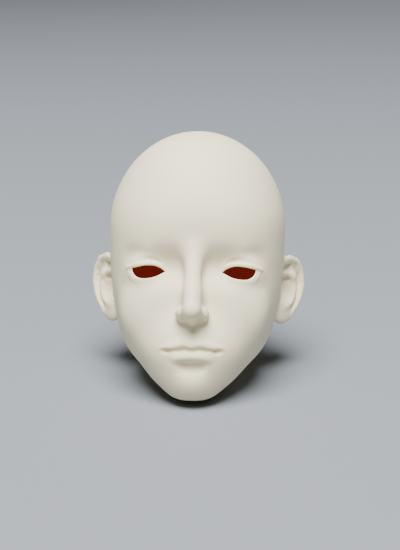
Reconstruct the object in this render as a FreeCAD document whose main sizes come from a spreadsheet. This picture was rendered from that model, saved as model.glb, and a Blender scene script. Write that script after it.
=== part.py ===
import FreeCAD, Part
import Sketcher
import math
import os

# A ball-jointed doll's head in cast resin: a face shell and a skull cap held by magnets,
# with a neck socket whose bar carries the S-hook that the doll's elastic pulls on.
# The head is shaped in the face's own frame: X to the doll's left, Y to the back, Z up,
# from the underside of the chin. The finished pieces are then leaned back about the neck,
# so that the neck rim lies flat at Z 0 and the neck's axis is upright at X 0, Y 0.

Vector = FreeCAD.Vector

doc = FreeCAD.newDocument("doll_head")
sheet = doc.addObject("Spreadsheet::Sheet", "Sizes")

driving_sizes = [
    # the head as a whole, in the face's frame
    ("HeadWidth", 62.0),
    ("HeadDepth", 77.2),
    ("HeadHeight", 94.3),
    ("WallThickness", 3.5),
    ("LeanAngle", 14.0),
    # the neck socket, its slot and the bar across it
    ("NeckBack", 4.0),
    ("NeckRise", 7.2),
    ("CupRadius", 13.0),
    ("CupDrop", 6.5),
    ("FloorHeight", 15.0),
    ("SlotWidth", 8.0),
    ("SlotLength", 17.0),
    ("BarDiameter", 3.0),
    ("BarLength", 26.0),
    ("BarClearance", 0.1),
    ("BarChamfer", 0.3),
    # the S-hook
    ("WireDiameter", 2.4),
    ("HookClearance", 0.3),
    ("LowerLoopRadius", 3.6),
    # the eyes
    ("EyeSpacing", 30.2),
    ("EyeLevel", 44.1),
    ("EyeForward", 24.6),
    ("EyeWidth", 11.8),
    ("WellRadius", 7.1),
    ("WellWall", 2.0),
    # the ears
    ("EarHeight", 25.0),
    ("EarLength", 16.5),
    ("EarThickness", 4.6),
    ("EarFlare", 32.0),
    ("EarTilt", 8.0),
    ("EarLevel", 38.9),
    ("EarBack", 3.0),
    ("EarInset", 1.6),
    # the seam between face shell and skull cap
    ("SeamBack", 17.6),
    ("SeamLean", 14.0),
    ("LipHeight", 1.5),
    ("LipWall", 1.3),
    ("LipSetIn", 2.0),
    ("LipClearance", 0.2),
    # the magnets that hold the cap
    ("MagnetDiameter", 5.0),
    ("MagnetThickness", 2.0),
    ("MagnetClearance", 0.1),
    ("BossWall", 1.5),
    ("BossLength", 6.0),
    # one overrun for every cut
    ("Overrun", 2.0),
]

for row_number, (alias, value) in enumerate(driving_sizes, start=1):
    sheet.set("A%d" % row_number, alias)
    sheet.set("B%d" % row_number, str(value))
    sheet.setAlias("B%d" % row_number, alias)
doc.recompute()


def size(alias):
    return float(getattr(sheet, alias))


head_width = size("HeadWidth")
head_depth = size("HeadDepth")
head_height = size("HeadHeight")
wall = size("WallThickness")
overrun = size("Overrun")

# The form of the head, in shares of its height. Each row is a level section of the mask:
# level, half width, front, place of the greatest width, back.
section_shares = [
    (-0.042, 0.020, -0.310, -0.300, -0.290),
    (0.000, 0.045, -0.329, -0.295, -0.262),
    (0.047, 0.105, -0.354, -0.250, -0.170),
    (0.090, 0.156, -0.363, -0.196, -0.080),
    (0.134, 0.197, -0.365, -0.143, 0.010),
    (0.177, 0.238, -0.367, -0.095, 0.106),
    (0.218, 0.265, -0.369, -0.058, 0.170),
    (0.290, 0.292, -0.369, -0.021, 0.255),
    (0.368, 0.308, -0.367, -0.005, 0.318),
    (0.445, 0.318, -0.367, 0.005, 0.371),
    (0.541, 0.326, -0.378, 0.016, 0.414),
    (0.639, 0.329, -0.386, 0.021, 0.433),
]
crown_share = 1.0
dome_share = section_shares[-1][0]
square_share = 0.35
square_end_share = 0.83
square_fade_share = 0.23
underside_blend_share = 0.032
small_share = 1e-4

# One unit of the form is one head height. Width and depth follow their own sizes.
unit = Vector(
    head_width / (2 * section_shares[-1][1]),
    head_depth / (section_shares[-1][4] - section_shares[-1][2]),
    head_height,
)

eye_centre = (
    size("EyeSpacing") / 2 / unit.x,
    -size("EyeForward") / unit.y,
    size("EyeLevel") / unit.z,
)

# Swellings and hollows of the face, in shares of head height, one side only: the other
# side is their mirror image. Balls have a centre and three half sizes. Ridges run from
# one point to another with a radius at each end. The last number is the blend's width.
neck_shares = ("ridge", 1, (0.0, 0.050, 0.046), (0.0, -0.004, 0.262), (0.140, 0.172), 0.085)
feature_shares = [
    neck_shares,
    # chin and cheeks
    ("ball", 1, (0.0, -0.316, 0.064), (0.049, 0.068, 0.053), None, 0.064),
    ("ball", 1, (0.148, -0.265, 0.334), (0.090, 0.057, 0.090), None, 0.106),
    # hollows under the brow, beside the nose and at the temple
    ("ball", -1, (0.117, -0.416, 0.505), (0.101, 0.059, 0.042), None, 0.095),
    ("ball", -1, (0.249, -0.367, 0.498), (0.049, 0.051, 0.036), None, 0.095),
    # closed swelling of the eyeball under the lids
    ("lid", 1, (0.002, 0.008, -0.002), (0.095, 0.087, 0.070), None, 0.032),
    # nose: bridge, body, tip, wings and the strip between the nostrils
    ("ridge", 1, (0.0, -0.365, 0.530), (0.0, -0.452, 0.338), (0.017, 0.027), 0.042),
    ("ball", 1, (0.0, -0.403, 0.350), (0.042, 0.051, 0.090), None, 0.037),
    ("ball", 1, (0.0, -0.454, 0.327), (0.031, 0.034, 0.031), None, 0.027),
    ("ball", 1, (0.033, -0.416, 0.318), (0.020, 0.033, 0.024), None, 0.028),
    ("ridge", 1, (0.0, -0.419, 0.291), (0.0, -0.450, 0.303), (0.013, 0.015), 0.019),
    # mouth: muzzle, nostril, philtrum, lips, the line between them and the fold below
    ("ball", 1, (0.0, -0.308, 0.196), (0.133, 0.087, 0.101), None, 0.095),
    ("ball", -1, (0.034, -0.434, 0.296), (0.011, 0.015, 0.008), None, 0.011),
    ("ridge", -1, (0.0, -0.426, 0.261), (0.0, -0.422, 0.231), (0.011, 0.013), 0.021),
    ("ridge", 1, (0.025, -0.387, 0.212), (0.108, -0.349, 0.200), (0.014, 0.005), 0.025),
    ("ridge", 1, (0.028, -0.380, 0.175), (0.089, -0.354, 0.179), (0.021, 0.010), 0.021),
    ("ridge", -1, (0.0, -0.410, 0.198), (0.040, -0.405, 0.201), (0.004, 0.004), 0.014),
    ("ridge", -1, (0.040, -0.405, 0.201), (0.074, -0.388, 0.195), (0.004, 0.004), 0.014),
    ("ridge", -1, (0.074, -0.388, 0.195), (0.119, -0.357, 0.194), (0.004, 0.006), 0.014),
    ("ridge", -1, (0.0, -0.427, 0.137), (0.064, -0.407, 0.142), (0.023, 0.018), 0.042),
]

# The eye opening, in shares of its width, from the inner corner over the upper lid to the
# outer corner, and back along the lower lid. The outer side is positive.
upper_lid_shares = [
    (-0.475, 0.008), (-0.364, 0.093), (-0.271, 0.140), (-0.161, 0.175), (0.0, 0.186),
    (0.178, 0.167), (0.280, 0.147), (0.475, 0.103),
]
lower_lid_shares = [
    (0.475, 0.103), (0.466, 0.006), (0.403, -0.097), (0.288, -0.169), (0.161, -0.191),
    (-0.030, -0.175), (-0.199, -0.132), (-0.364, -0.051), (-0.475, 0.008),
]
lid_ball_shares = (0.102, 0.088, 0.095)
lid_rise_share = 0.008
lid_depth_share = 0.014
lid_radius_share = 0.010
lid_blend_share = 0.013


def monotone_slopes(levels, values):
    # slopes for a curve through the points that never overshoots them
    steps = [b - a for a, b in zip(levels, levels[1:])]
    rises = [(b - a) / s for a, b, s in zip(values, values[1:], steps)]
    slopes = [rises[0]]
    for before, after, s0, s1 in zip(rises, rises[1:], steps, steps[1:]):
        if before * after > 0:
            w0 = 2 * s1 + s0
            w1 = s1 + 2 * s0
            slopes.append((w0 + w1) / (w0 / before + w1 / after))
        else:
            slopes.append(0.0)
    slopes.append(0.0)
    return slopes


section_levels = [row[0] for row in section_shares]
section_columns = [[row[k] for row in section_shares] for k in range(1, 5)]
section_slopes = [monotone_slopes(section_levels, column) for column in section_columns]


def section_at(z):
    # half width, front, place of greatest width and back of the mask at a level
    if z <= section_levels[0]:
        return [column[0] for column in section_columns]
    if z >= section_levels[-1]:
        return [column[-1] for column in section_columns]
    i = 0
    while section_levels[i + 1] < z:
        i += 1
    span = section_levels[i + 1] - section_levels[i]
    t = (z - section_levels[i]) / span
    found = []
    for column, slopes in zip(section_columns, section_slopes):
        found.append(
            column[i] * (1 + 2 * t) * (1 - t) ** 2
            + span * slopes[i] * t * (1 - t) ** 2
            + column[i + 1] * t * t * (3 - 2 * t)
            + span * slopes[i + 1] * t * t * (t - 1)
        )
    return found


def join(a, b, width):
    # the smaller of two distances, with a rounded inner corner
    overlap = max(width - abs(a - b), 0.0) / width
    return min(a, b) - overlap * overlap * width / 4


def carve(a, b, width):
    # the first distance with the second taken away, with a rounded outer corner
    return -join(-a, b, width)


def mask_distance(x, y, z):
    # distance outside the plain head: the sections, then a dome up to the crown
    half, front, middle, back = section_at(z)
    rise = max(z - dome_share, 0.0) / (crown_share - dome_share)
    dome = math.sqrt(max(1 - rise * rise, small_share))
    fade = min(max((square_end_share - z) / square_fade_share, 0.0), 1.0)
    power = 2 + square_share * fade * fade * (3 - 2 * fade)
    length = (middle - front) if y < middle else (back - middle)
    across = abs(x) / (half * dome)
    along = abs(y - middle) / (length * dome)
    ratio = (across ** power + along ** power) ** (1 / power)
    distance = (ratio - 1) * min(half, length) * dome
    if z > crown_share:
        distance = max(distance, z - crown_share)
    return carve(distance, z, underside_blend_share)


def ball_distance(p, centre, radii):
    q = [(p[k] - centre[k]) / radii[k] for k in range(3)]
    near = math.sqrt(q[0] * q[0] + q[1] * q[1] + q[2] * q[2])
    slope = math.sqrt(sum((q[k] / radii[k]) ** 2 for k in range(3))) + small_share
    return near * (near - 1) / slope


def ridge_distance(p, start, end, radii):
    d = [end[k] - start[k] for k in range(3)]
    q = [p[k] - start[k] for k in range(3)]
    t = (q[0] * d[0] + q[1] * d[1] + q[2] * d[2]) / (d[0] * d[0] + d[1] * d[1] + d[2] * d[2])
    t = min(max(t, 0.0), 1.0)
    near = math.sqrt(sum((q[k] - t * d[k]) ** 2 for k in range(3)))
    return near - radii[0] - (radii[1] - radii[0]) * t


def lid_line(outline, rise):
    # points of a lid's rim on the swelling of the eye, just above or below the opening
    eye_width_share = size("EyeWidth") / unit.z
    points = []
    for across, up in outline:
        x = across * eye_width_share
        z = up * eye_width_share + rise
        bulge = 1 - (x / lid_ball_shares[0]) ** 2 - (z / lid_ball_shares[2]) ** 2
        y = lid_depth_share - lid_ball_shares[1] * math.sqrt(bulge)
        points.append((eye_centre[0] + x, eye_centre[1] + y, eye_centre[2] + z))
    return points


lid_rims = [
    lid_line(upper_lid_shares, lid_rise_share),
    lid_line(lower_lid_shares, -lid_rise_share),
]


def skin_distance(x, y, z):
    # distance outside the finished head, in head heights
    p = (abs(x), y, z)
    distance = mask_distance(x, y, z)
    for kind, sign, first, second, radii, width in feature_shares:
        if kind == "ridge":
            other = ridge_distance(p, first, second, radii)
        elif kind == "lid":
            centre = [eye_centre[k] + first[k] for k in range(3)]
            other = ball_distance(p, centre, second)
        else:
            other = ball_distance(p, first, second)
        if sign > 0:
            distance = join(distance, other, width)
        else:
            distance = carve(distance, other, width)
    for rim in lid_rims:
        near = min(
            ridge_distance(p, a, b, (lid_radius_share, lid_radius_share))
            for a, b in zip(rim, rim[1:])
        )
        distance = join(distance, near, lid_blend_share)
    return distance


def real_distance(form, point):
    return form(point.x / unit.x, point.y / unit.y, point.z / unit.z) * unit.z


def point_on(form, centre, direction):
    # where a ray from inside leaves the form, by halving the span that holds the skin
    inside = 0.0
    outside = head_height
    for _ in range(12):
        middle = (inside + outside) / 2
        if real_distance(form, centre + direction * middle) < 0:
            inside = middle
        else:
            outside = middle
    low = real_distance(form, centre + direction * inside)
    high = real_distance(form, centre + direction * outside)
    return centre + direction * (inside + (outside - inside) * low / (low - high))


def normal_on(form, point):
    step = head_height * small_share
    grad = Vector(
        real_distance(form, point + Vector(step, 0, 0)) - real_distance(form, point - Vector(step, 0, 0)),
        real_distance(form, point + Vector(0, step, 0)) - real_distance(form, point - Vector(0, step, 0)),
        real_distance(form, point + Vector(0, 0, step)) - real_distance(form, point - Vector(0, 0, step)),
    )
    return grad.normalize()


def faceted_solid(rows):
    # a solid of flat facets between closed rings of points, from a point to a point
    faces = []

    def facet(a, b, c):
        faces.append(Part.Face(Part.makePolygon([a, b, c, a])))

    last = len(rows) - 2
    for i, (near, far) in enumerate(zip(rows, rows[1:])):
        ring = max(len(near), len(far))
        for j in range(ring):
            k = (j + 1) % ring
            if i == 0:
                facet(near[0], far[k], far[j])
            elif i == last:
                facet(near[j], near[k], far[0])
            elif (near[j] - far[k]).Length < (near[k] - far[j]).Length:
                facet(near[j], near[k], far[k])
                facet(near[j], far[k], far[j])
            else:
                facet(near[j], near[k], far[j])
                facet(near[k], far[k], far[j])
    solid = Part.Solid(Part.makeShell(faces))
    if solid.Volume < 0:
        solid.reverse()
    return solid


def graded_angles(start, parts):
    # angles in stretches, each with the angle where it ends and the number of steps in it
    angles = [start]
    for end, count in parts:
        first = angles[-1]
        for k in range(count):
            angles.append(first + (end - first) * (k + 1) / count)
    return angles


form_centre_shares = (0.064, 0.445)
form_centre = Vector(0, form_centre_shares[0] * unit.y, form_centre_shares[1] * unit.z)


def head_solid(form, turns, leans, depth):
    # rings of points where rays from the middle of the head meet the form: the leans go from
    # the left ear's pole to the middle plane, the turns from under the chin up over the crown
    rows = []
    for lean in leans:
        b = math.radians(lean)
        row = []
        for turn in turns:
            a = math.radians(turn)
            direction = Vector(math.cos(b), -math.sin(b) * math.cos(a), math.sin(b) * math.sin(a))
            point = point_on(form, form_centre, direction)
            if depth:
                point = point - normal_on(form, point) * depth
            row.append(point)
        rows.append(row)
    rows[0] = rows[0][:1]
    rows += [[Vector(-p.x, p.y, p.z) for p in row] for row in reversed(rows[:-1])]
    return faceted_solid(rows)


def feature(name, shape, placement=None):
    made = doc.addObject("Part::Feature", name)
    made.Label = name
    made.Shape = shape
    if placement is not None:
        made.Placement = placement
    return made


def bound(kind, name, sizes):
    # a primitive whose sizes follow expressions on the sheet
    made = doc.addObject(kind, name)
    made.Label = name
    for prop, expression in sizes.items():
        made.setExpression(prop, expression)
    return made


def boolean(kind, name, base, tool):
    made = doc.addObject(kind, name)
    made.Label = name
    made.Base = base
    made.Tool = tool
    made.Refine = False
    return made


def fused(name, shapes):
    made = doc.addObject("Part::MultiFuse", name)
    made.Label = name
    made.Shapes = shapes
    made.Refine = False
    return made


# Frames. The neck frame stands in the face frame, and the finished pieces go to its inverse.
neck_frame = FreeCAD.Placement(
    Vector(0, size("NeckBack"), size("NeckRise")),
    FreeCAD.Rotation(Vector(1, 0, 0), size("LeanAngle")),
)
seam_frame = FreeCAD.Placement(
    Vector(0, size("SeamBack"), head_height / 2),
    FreeCAD.Rotation(Vector(1, 0, 0), size("SeamLean") - 90),
)
seam_in_neck = neck_frame.inverse().multiply(seam_frame)


def lean_back(made):
    # the placement that brings a piece from the face frame to the neck rim's frame
    made.Placement = FreeCAD.Placement(Vector(0, 0, 0), FreeCAD.Rotation(Vector(1, 0, 0), -1))
    made.setExpression(
        "Placement.Base.y",
        "-Sizes.NeckBack * cos(Sizes.LeanAngle) - Sizes.NeckRise * sin(Sizes.LeanAngle)",
    )
    made.setExpression(
        "Placement.Base.z",
        "Sizes.NeckBack * sin(Sizes.LeanAngle) - Sizes.NeckRise * cos(Sizes.LeanAngle)",
    )
    made.setExpression("Placement.Rotation.Angle", "-Sizes.LeanAngle")


def at_neck(made, drop="0", along_x="0", along_y="0"):
    # stands a tool in the neck frame, a distance below the rim and off its axis
    made.Placement = FreeCAD.Placement(Vector(0, 0, 0), FreeCAD.Rotation(Vector(1, 0, 0), 1))
    made.setExpression("Placement.Base.x", along_x)
    made.setExpression(
        "Placement.Base.y",
        "Sizes.NeckBack + (%s) * sin(Sizes.LeanAngle) + (%s) * cos(Sizes.LeanAngle)" % (drop, along_y),
    )
    made.setExpression(
        "Placement.Base.z",
        "Sizes.NeckRise - (%s) * cos(Sizes.LeanAngle) + (%s) * sin(Sizes.LeanAngle)" % (drop, along_y),
    )
    made.setExpression("Placement.Rotation.Angle", "Sizes.LeanAngle")


# The head's outer skin, with finer facets over the face, and the cavity inside its wall.
# The stretches of turns are the throat, the chin, the lips, the nose, the cheek, the eyes, and
# the brow with all of the skull behind it.
throat_turn = -70
face_stretches = [(-38, 5), (-33, 3), (-23, 11), (-12, 4), (0, 5), (14, 6)]
face_turns = graded_angles(throat_turn, face_stretches + [(throat_turn + 360, 18)])[:-1]
face_leans = graded_angles(0, [(50, 6), (66, 5), (90, 12)])
cavity_turns = graded_angles(throat_turn, [(throat_turn + 360, 16)])[:-1]
cavity_leans = graded_angles(0, [(90, 7)])
outer_form = feature("outer_form", head_solid(skin_distance, face_turns, face_leans, 0))
cavity_form = feature("cavity_form", head_solid(mask_distance, cavity_turns, cavity_leans, wall))

# Ears, in shares of ear length and height, from the front of the upper rim over the top.
ear_outline_shares = [
    (-0.15, 0.32), (0.10, 0.44), (0.40, 0.50), (0.72, 0.45), (0.94, 0.28), (1.00, 0.07),
    (0.93, -0.13), (0.77, -0.29), (0.56, -0.43), (0.32, -0.50), (0.10, -0.46),
    (-0.06, -0.32), (-0.18, -0.11), (-0.20, 0.12),
]
ear_centre_shares = (0.44, 0.04)
# Rings from the back of the ear over its rim into the bowl: share of the outline, share of
# the ear's thickness, and how far the ring sinks less towards the lobe.
ear_ring_shares = [
    (0.02, -0.34, 0.0), (0.35, -0.34, 0.0), (0.70, -0.36, 0.0), (0.93, -0.26, 0.0),
    (1.02, 0.06, 0.0), (0.96, 0.42, 0.0), (0.84, 0.46, 0.0), (0.72, 0.26, 0.3),
    (0.60, -0.02, 0.6), (0.38, -0.12, 0.5), (0.02, -0.12, 0.4),
]


def ear_solid(side):
    flare = math.radians(size("EarFlare"))
    tilt = math.radians(size("EarTilt"))
    back = Vector(math.sin(flare) * side, math.cos(flare), 0)
    out = Vector(math.cos(flare) * side, -math.sin(flare), 0)
    up = Vector(0, math.sin(tilt), math.cos(tilt))
    level = size("EarLevel")
    start = Vector(0, size("EarBack"), level)
    root = point_on(mask_distance, start, Vector(side, 0, 0)) - Vector(side, 0, 0) * size("EarInset")
    rows = []
    for share, height, lobe in ear_ring_shares:
        row = []
        for u, v in ear_outline_shares:
            across = ear_centre_shares[0] + (u - ear_centre_shares[0]) * share
            above = ear_centre_shares[1] + (v - ear_centre_shares[1]) * share
            lift = height + lobe * max(-v, 0.0)
            row.append(
                root
                + back * across * size("EarLength")
                + up * above * size("EarHeight")
                + out * lift * size("EarThickness")
            )
        rows.append(row)
    for end in (0, -1):
        rows[end] = [sum(rows[end], Vector(0, 0, 0)) / len(rows[end])]
    return faceted_solid(rows)


ears = [feature("ear_form_" + name, ear_solid(side)) for name, side in (("left", 1), ("right", -1))]


# Eye wells, the cups that back them and the openings between the lids.
ball_bands = 12
ball_sides = 24


def faceted_ball(name, radius):
    # a ball of flat facets between its bands
    rows = []
    for k in range(ball_bands + 1):
        lean = math.pi * k / ball_bands
        row = []
        for j in range(ball_sides):
            turn = 2 * math.pi * j / ball_sides
            row.append(Vector(
                radius * math.sin(lean) * math.cos(turn),
                radius * math.sin(lean) * math.sin(turn),
                radius * math.cos(lean),
            ))
        rows.append(row)
    rows[0] = rows[0][:1]
    rows[-1] = rows[-1][:1]
    return feature(name, faceted_solid(rows))


def eye_opening_solid(side):
    eye_width = size("EyeWidth")
    edges = []
    for outline in (upper_lid_shares, lower_lid_shares):
        curve = Part.BSplineCurve()
        curve.interpolate([
            Vector(side * (size("EyeSpacing") / 2 + u * eye_width), -size("EyeForward"),
                   size("EyeLevel") + v * eye_width)
            for u, v in outline
        ])
        edges.append(curve.toShape())
    opening = Part.Face(Part.Wire(edges))
    return opening.extrude(Vector(0, size("EyeForward") - head_depth, 0))


eye_tools = []
eye_cups = []
for name, side in (("left", "1"), ("right", "-1")):
    well = faceted_ball("eye_well_" + name, size("WellRadius"))
    well.setExpression("Placement.Base.x", side + " * Sizes.EyeSpacing / 2")
    well.setExpression("Placement.Base.y", "-Sizes.EyeForward")
    well.setExpression("Placement.Base.z", "Sizes.EyeLevel")
    cup = bound("Part::Cylinder", "eye_cup_" + name, {
        "Radius": "Sizes.WellRadius + Sizes.WellWall",
        "Height": "Sizes.WellRadius + 2 * Sizes.WellWall",
        "Placement.Base.x": side + " * Sizes.EyeSpacing / 2",
        "Placement.Base.y": "-Sizes.EyeForward + Sizes.WellWall",
        "Placement.Base.z": "Sizes.EyeLevel",
    })
    cup.Placement = FreeCAD.Placement(Vector(0, 0, 0), FreeCAD.Rotation(Vector(1, 0, 0), 90))
    eye_tools.append(well)
    eye_cups.append(cup)
    eye_tools.append(feature("eye_opening_" + name, eye_opening_solid(float(side))))

# Neck seat: the space below the rim, the ball cup, the slot and the bar's groove.
below_rim = bound("Part::Box", "below_rim", {
    "Length": "2 * Sizes.HeadWidth",
    "Width": "2 * Sizes.HeadDepth",
    "Height": "Sizes.HeadHeight",
})
at_neck(below_rim, "Sizes.HeadHeight", "-Sizes.HeadWidth", "-Sizes.HeadDepth")
ball_cup = faceted_ball("ball_cup", size("CupRadius"))
at_neck(ball_cup, "Sizes.CupDrop")
slot = bound("Part::Box", "hook_slot", {
    "Length": "Sizes.SlotWidth",
    "Width": "Sizes.SlotLength",
    "Height": "Sizes.FloorHeight + Sizes.Overrun",
})
at_neck(slot, "0", "-Sizes.SlotWidth / 2", "-Sizes.SlotLength / 2")
groove = doc.addObject("Part::Cylinder", "bar_groove")
groove.Label = "bar_groove"
groove.setExpression("Radius", "Sizes.BarDiameter / 2 + Sizes.BarClearance")
groove.setExpression("Height", "Sizes.BarLength + 2 * Sizes.BarClearance")
groove_local = FreeCAD.Placement(
    Vector(-size("BarLength") / 2 - size("BarClearance"), 0, size("FloorHeight")),
    FreeCAD.Rotation(Vector(0, 1, 0), 90),
)
groove.Placement = neck_frame.multiply(groove_local)
below_floor = bound("Part::Box", "below_floor", {
    "Length": "2 * Sizes.HeadWidth",
    "Width": "2 * Sizes.HeadDepth",
    "Height": "Sizes.HeadHeight",
})
at_neck(below_floor, "Sizes.HeadHeight - Sizes.FloorHeight", "-Sizes.HeadWidth", "-Sizes.HeadDepth")

# Everything behind the seam, and the rings that guide the cap into the shell.
behind_seam = doc.addObject("Part::Box", "behind_seam")
behind_seam.Label = "behind_seam"
behind_seam.setExpression("Length", "2 * Sizes.HeadWidth")
behind_seam.setExpression("Width", "3 * Sizes.HeadHeight")
behind_seam.setExpression("Height", "Sizes.HeadDepth")
behind_seam.Placement = seam_frame.multiply(
    FreeCAD.Placement(Vector(-head_width, -1.5 * head_height, 0), FreeCAD.Rotation())
)

seam_steps = 40
seam_centre_share = -0.13
seam_centre = Vector(0, seam_centre_share * head_height, 0)


def seam_point(angle, inset):
    # a point of the seam's outline, moved in from the skin along the wall's thickness
    turn = Vector(math.sin(angle), -math.cos(angle), 0)
    centre = seam_frame.multVec(seam_centre)
    direction = seam_frame.Rotation.multVec(turn)
    skin = point_on(mask_distance, centre, direction)
    normal = seam_frame.Rotation.inverted().multVec(normal_on(mask_distance, skin))
    flat = Vector(normal.x, normal.y, 0)
    return seam_frame.inverse().multVec(skin) - flat * (inset / flat.dot(flat))


def seam_prism(inset, front, back):
    # a straight column of the seam's outline, from one depth to another
    points = [seam_point(2 * math.pi * k / seam_steps, inset) for k in range(seam_steps)]
    outline = Part.Face(Part.makePolygon(points + points[:1]))
    outline.translate(Vector(0, 0, front))
    return outline.extrude(Vector(0, 0, back - front))


lip_front = -size("LipHeight")
rebate_floor = lip_front - size("LipClearance")
lip_ring = seam_prism(size("LipSetIn"), lip_front, size("LipWall")).cut(
    seam_prism(size("LipSetIn") + size("LipWall"), lip_front - overrun, overrun * 2)
)
lip_ring_tool = feature("lip_ring", lip_ring, seam_frame)
lip_space = feature("lip_space", seam_prism(size("LipSetIn"), lip_front, size("BossWall")), seam_frame)
rebate_block = seam_prism(size("LipSetIn") - size("LipClearance"), rebate_floor, overrun)
rebate = feature("shell_rebate", rebate_block, seam_frame)

# Magnets: four pairs, placed round the seam by angle from its top.
magnet_angles = {"upper_left": 48, "upper_right": -48, "lower_left": 128, "lower_right": -128}
magnet_radius = size("MagnetDiameter") / 2
magnet_inset = wall + magnet_radius / 2


def seam_cylinder(name, centre, radius, height, base_height):
    # a round post or pocket that stands square to the seam
    made = bound("Part::Cylinder", name, {"Radius": radius, "Height": height})
    local = FreeCAD.Placement(Vector(centre.x, centre.y, base_height), FreeCAD.Rotation())
    made.Placement = seam_frame.multiply(local)
    return made


pocket = "Sizes.MagnetDiameter / 2 + Sizes.MagnetClearance"
boss = pocket + " + Sizes.BossWall"
pocket_height = "Sizes.MagnetThickness + Sizes.MagnetClearance + Sizes.Overrun"
shell_pocket_base = rebate_floor - size("MagnetThickness") - size("MagnetClearance")
bosses = []
stubs = []
shell_pockets = []
cap_pockets = []
magnet_places = []
for name, angle in magnet_angles.items():
    centre = seam_point(math.radians(angle), magnet_inset)
    bosses.append(seam_cylinder("boss_" + name, centre, boss, "2 * Sizes.BossLength", -size("BossLength")))
    stubs.append(seam_cylinder("stub_" + name, centre, boss, "Sizes.LipHeight + Sizes.BossWall", lip_front))
    shell_pockets.append(
        seam_cylinder("shell_pocket_" + name, centre, pocket, pocket_height, shell_pocket_base)
    )
    cap_pockets.append(
        seam_cylinder("cap_pocket_" + name, centre, pocket, pocket_height, lip_front - overrun)
    )
    magnet_places.append(("shell_magnet_" + name, centre, rebate_floor - size("MagnetThickness")))
    magnet_places.append(("cap_magnet_" + name, centre, lip_front))

# The two castings.
blank = fused("casting_blank", [outer_form] + ears)
trimmed = boolean("Part::Cut", "casting", blank, below_rim)
kept_inside = fused("kept_inside", bosses + eye_cups + [below_floor])
hollow = boolean("Part::Cut", "hollow", cavity_form, kept_inside)

front_half = boolean("Part::Cut", "front_half", trimmed, behind_seam)
shell_cuts = fused("shell_cuts", [hollow, rebate] + eye_tools + [ball_cup, slot, groove] + shell_pockets)
head_shell = boolean("Part::Cut", "head_shell", front_half, shell_cuts)

back_half = boolean("Part::Common", "back_half", trimmed, behind_seam)
cap_wall = boolean("Part::Cut", "cap_wall", back_half, hollow)
stub_posts = fused("stub_posts", stubs)
stub_feet = boolean("Part::Common", "stub_feet", stub_posts, lip_space)
cap_joined = fused("cap_joined", [cap_wall, lip_ring_tool, stub_feet])
cap_cuts = fused("cap_cuts", cap_pockets)
head_cap = boolean("Part::Cut", "head_cap", cap_joined, cap_cuts)
for casting in (head_shell, head_cap):
    lean_back(casting)


def origin_plane(body, role):
    for item in body.Origin.OriginFeatures:
        if item.Role == role:
            return item


def disc_body(name, radius, height):
    # a round disc or rod, standing on its own XY plane
    body = doc.addObject("PartDesign::Body", name)
    body.Label = name
    sketch = body.newObject("Sketcher::SketchObject", name + "_circle")
    sketch.AttachmentSupport = (origin_plane(body, "XY_Plane"), [""])
    sketch.MapMode = "FlatFace"
    sketch.addGeometry(Part.Circle(Vector(0, 0, 0), Vector(0, 0, 1), size("BarDiameter")), False)
    sketch.addConstraint(Sketcher.Constraint("Coincident", 0, 3, -1, 1))
    sketch.addConstraint(Sketcher.Constraint("Radius", 0, size("BarDiameter")))
    sketch.setExpression("Constraints[1]", radius)
    pad = body.newObject("PartDesign::Pad", name + "_pad")
    pad.Profile = sketch
    pad.setExpression("Length", height)
    return body, pad


def break_rims(body, pad, chamfer):
    doc.recompute()
    rims = ["Edge%d" % (k + 1) for k, edge in enumerate(pad.Shape.Edges) if edge.isClosed()]
    edge_break = body.newObject("PartDesign::Chamfer", body.Label + "_chamfer")
    edge_break.Base = (pad, rims)
    edge_break.setExpression("Size", chamfer)


magnets = []
for name, centre, height in magnet_places:
    body, pad = disc_body(name, "Sizes.MagnetDiameter / 2", "Sizes.MagnetThickness")
    local = FreeCAD.Placement(Vector(centre.x, centre.y, height), FreeCAD.Rotation())
    body.Placement = seam_in_neck.multiply(local)
    magnets.append(body)

hook_bar, bar_pad = disc_body("hook_bar", "Sizes.BarDiameter / 2", "Sizes.BarLength")
break_rims(hook_bar, bar_pad, "Sizes.BarChamfer")
hook_bar.Placement = FreeCAD.Placement(
    Vector(-size("BarLength") / 2, 0, size("FloorHeight")),
    FreeCAD.Rotation(Vector(0, 1, 0), 90),
)

# S-hook: two arcs of wire that meet at a tangent, one over the bar and one hanging below.
wire_radius = size("WireDiameter") / 2
upper_radius = size("BarDiameter") / 2 + size("HookClearance") + wire_radius
lower_radius = size("LowerLoopRadius")
upper_sweep = 265.0
lower_sweep = 250.0


def arc_moment(radius, start, sweep, centre_z):
    # length times middle of an arc in the Y Z plane
    a = math.radians(start)
    b = math.radians(start + sweep)
    y = radius * radius * (math.sin(b) - math.sin(a))
    z = radius * radius * (math.cos(a) - math.cos(b)) + centre_z * radius * (b - a)
    return y, z


drop = upper_radius + lower_radius
upper_moment = arc_moment(upper_radius, -90, upper_sweep, 0)
lower_moment = arc_moment(lower_radius, 90, lower_sweep, -drop)
hang_angle = math.degrees(math.atan2(
    upper_moment[0] + lower_moment[0],
    -upper_moment[1] - lower_moment[1],
))
hang = FreeCAD.Placement(
    Vector(0, 0, size("FloorHeight")),
    FreeCAD.Rotation(Vector(1, 0, 0), -hang_angle),
)
wire_sides = 6


def wire_arc(radius, centre_z, sweep):
    # round wire, rolled from the point where both loops meet
    meet = Vector(0, 0, -upper_radius)
    points = []
    for k in range(wire_sides + 1):
        a = 2 * math.pi * (k % wire_sides + 0.5) / wire_sides
        points.append(meet + Vector(math.cos(a), 0, math.sin(a)) * wire_radius)
    section = Part.Face(Part.makePolygon(points))
    return section.revolve(Vector(0, 0, centre_z), Vector(1, 0, 0), sweep)


hook_shape = wire_arc(upper_radius, 0, upper_sweep).fuse(wire_arc(lower_radius, -drop, lower_sweep))
s_hook = feature("s_hook", hook_shape.removeSplitter(), hang)

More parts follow.
